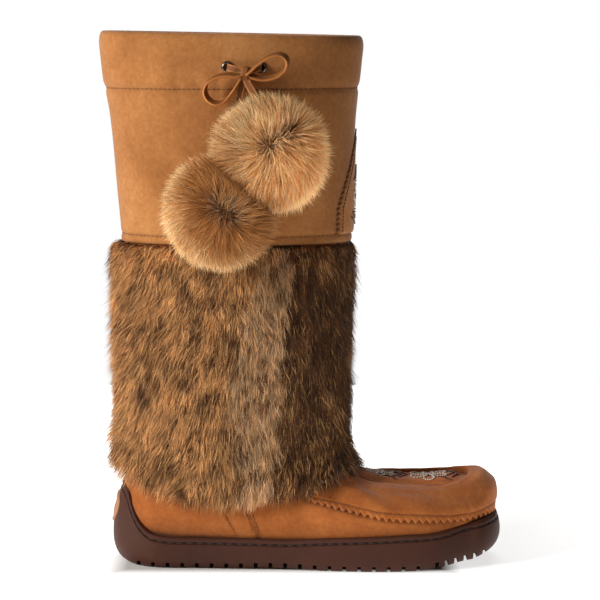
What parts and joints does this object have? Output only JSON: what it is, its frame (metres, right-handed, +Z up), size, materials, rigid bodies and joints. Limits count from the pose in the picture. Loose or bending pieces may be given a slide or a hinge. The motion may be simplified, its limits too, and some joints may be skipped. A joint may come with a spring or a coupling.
{
  "type": "mukluk boot",
  "caption": "Tall right winter boot: suede foot and cuff, fur leg, rubber cup sole, beaded toe, drawstring bow with fur pompoms.",
  "frame": {"origin": "on the floor, under the middle of the boot's box", "axes": "+X towards the toe, +Y towards the medial side of the right boot, +Z up along the leg"},
  "size_m": [0.286, 0.1842, 0.377],
  "materials": {
    "rubber_sole": "dark brown moulded rubber, satin",
    "badge": "plain orange-brown rubber badge, matt",
    "insole": "cream fleece insole",
    "suede_cuff": "tan suede, matt nap",
    "suede_foot": "orange-tan suede, matt nap",
    "lining": "cream fleece lining",
    "leg_fur": "brown agouti rabbit fur, medium pile",
    "pompom_fur": "golden brown rabbit fur, dense pile",
    "thong": "flat brown leather thong",
    "thread": "brown sewing thread",
    "beads_light": "cream glass seed beads, glossy",
    "beads_red": "dark red glass seed beads, glossy",
    "beads_brown": "brown glass seed beads, glossy",
    "eyelet_metal": "dark gunmetal, polished"
  },
  "bodies": {
    "root": {"outsole": "rubber_sole", "heel_badge": "badge", "insole": "insole", "upper": "suede_cuff", "fur_leg": "leg_fur", "vamp_band": "suede_foot", "apron": "suede_foot", "cuff_panel": "suede_cuff", "eyelet_rear": "eyelet_metal", "eyelet_front": "eyelet_metal", "lace_bar_rear": "thong", "lace_bar_front": "thong", "lace_knot": "thong", "lace_loop_rear": "thong", "lace_loop_front": "thong", "lace_end_rear": "thong", "lace_end_front": "thong", "pompom_upper": "pompom_fur", "pompom_lower": "pompom_fur"}
  },
  "joints": []
}
